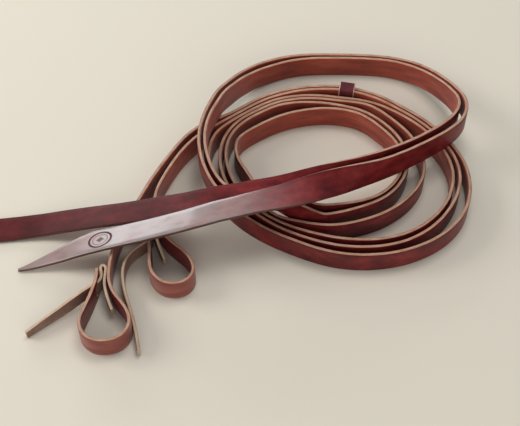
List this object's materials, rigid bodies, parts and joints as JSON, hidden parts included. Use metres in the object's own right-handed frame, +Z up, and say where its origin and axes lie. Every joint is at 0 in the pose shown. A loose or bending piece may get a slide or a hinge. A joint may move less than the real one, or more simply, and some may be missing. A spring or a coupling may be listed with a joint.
{
  "type": "split reins",
  "caption": "Coiled flat leather split reins standing on edge, with tied bit loops, a leather keeper and loose tapered tails.",
  "frame": {"origin": "centre of the bounding box at the level of the surface that the reins lie on", "axes": "+Z up, +X from the tail ends towards the coil, +Y from the bit loops towards the back of the coil"},
  "size_m": [0.536, 0.2466, 0.049],
  "materials": {
    "oxblood_leather": "polished grain face, suede flesh side, pale cut edges",
    "tie_leather": "oiled, pale cut edges",
    "keeper_leather": "satin, pale cut edges"
  },
  "bodies": {
    "coil": {"near_rein_coil": "oxblood_leather", "off_rein_coil": "oxblood_leather"},
    "rein_tails": {"near_rein_tail": "oxblood_leather", "off_rein_tail": "oxblood_leather"},
    "near_bit_end": {"near_bit_loop": "oxblood_leather", "near_loop_tie": "tie_leather"},
    "off_bit_end": {"off_bit_loop": "oxblood_leather", "off_loop_tie": "tie_leather"},
    "keeper": {"coil_keeper": "keeper_leather"}
  },
  "joints": [
    {"name": "tails_lift", "type": "hinge", "parent": "coil", "child": "rein_tails", "pos_m": [0.0672, -0.03457, 0.0415], "axis": [0, 1, 0], "range_deg": [0, 35]},
    {"name": "near_bit_swing", "type": "hinge", "parent": "coil", "child": "near_bit_end", "pos_m": [0.01872, -0.05377, 0.0095], "axis": [0, 0, 1], "range_deg": [-15, 0]},
    {"name": "off_bit_swing", "type": "hinge", "parent": "coil", "child": "off_bit_end", "pos_m": [0.04649, -0.02168, 0.0095], "axis": [0, 0, 1], "range_deg": [0, 15]},
    {"name": "keeper_slide", "type": "hinge", "parent": "coil", "child": "keeper", "pos_m": [0.17006, 0.01609, 0], "axis": [0, 0, 1], "range_deg": [-4, 4]}
  ]
}
